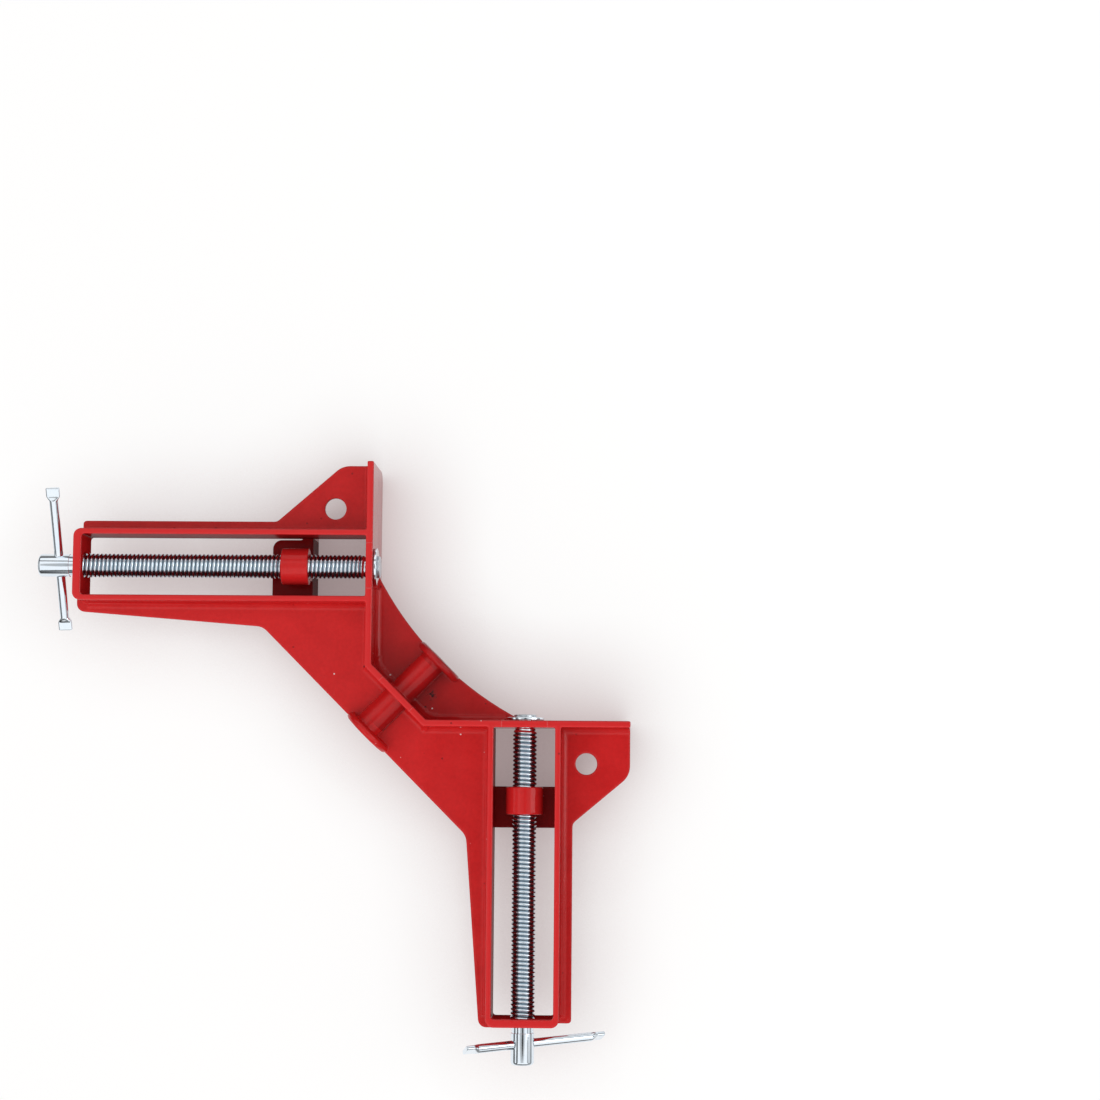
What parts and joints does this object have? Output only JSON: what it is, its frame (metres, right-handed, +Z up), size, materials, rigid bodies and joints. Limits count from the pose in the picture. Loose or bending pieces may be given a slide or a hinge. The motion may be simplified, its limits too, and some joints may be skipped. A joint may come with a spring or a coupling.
{
  "type": "corner clamp",
  "caption": "Die-cast right-angle corner clamp: two fences meet at a chamfered corner, and on each arm a lead screw with a sliding tommy bar drives a jaw along a slotted frame.",
  "frame": {"origin": "the corner where the two outer fence planes meet, on the bench plane", "axes": "+Z up; the outer face of fence A is the plane x = 0 and arm A runs along -X; the outer face of fence B is the plane y = 0 and arm B runs along -Y"},
  "size_m": [0.2292, 0.2292, 0.0419],
  "materials": {
    "red_enamel": "glossy red enamel on die-cast aluminium",
    "bright_zinc": "bright zinc-plated steel"
  },
  "bodies": {
    "casting": {"body_casting": "red_enamel"},
    "screw_a": {"lead_screw_a": "bright_zinc", "retaining_washer_a": "bright_zinc"},
    "bar_a": {"tommy_bar_a": "bright_zinc"},
    "sliding_jaw_a": {"jaw_a": "red_enamel"},
    "screw_b": {"lead_screw_b": "bright_zinc", "retaining_washer_b": "bright_zinc"},
    "bar_b": {"tommy_bar_b": "bright_zinc"},
    "sliding_jaw_b": {"jaw_b": "red_enamel"}
  },
  "joints": [
    {"name": "screw_turn_a", "type": "hinge", "parent": "casting", "child": "screw_a", "pos_m": [0, 0.06125, 0.0294], "axis": [1, 0, 0], "range_deg": [-15990, 5040]},
    {"name": "jaw_slide_a", "type": "slide", "parent": "casting", "child": "sliding_jaw_a", "axis": [1, 0, 0], "range_m": [-0.0706, 0.0223]},
    {"name": "bar_slide_a", "type": "slide", "parent": "screw_a", "child": "bar_a", "axis": [-0.0314, 0.9267, 0.3744], "range_m": [-0.0209, 0.0161]},
    {"name": "screw_turn_b", "type": "hinge", "parent": "casting", "child": "screw_b", "pos_m": [0.06125, 0, 0.0294], "axis": [0, 1, 0], "range_deg": [-15990, 5040]},
    {"name": "jaw_slide_b", "type": "slide", "parent": "casting", "child": "sliding_jaw_b", "axis": [0, 1, 0], "range_m": [-0.0706, 0.0223]},
    {"name": "bar_slide_b", "type": "slide", "parent": "screw_b", "child": "bar_b", "axis": [-0.8971, -0.061, 0.4376], "range_m": [-0.0134, 0.0236]}
  ],
  "couplings": [
    {"joint": "jaw_slide_a", "follows": "screw_turn_a", "m_per_rad": 0.00025266},
    {"joint": "jaw_slide_b", "follows": "screw_turn_b", "m_per_rad": 0.00025266}
  ]
}
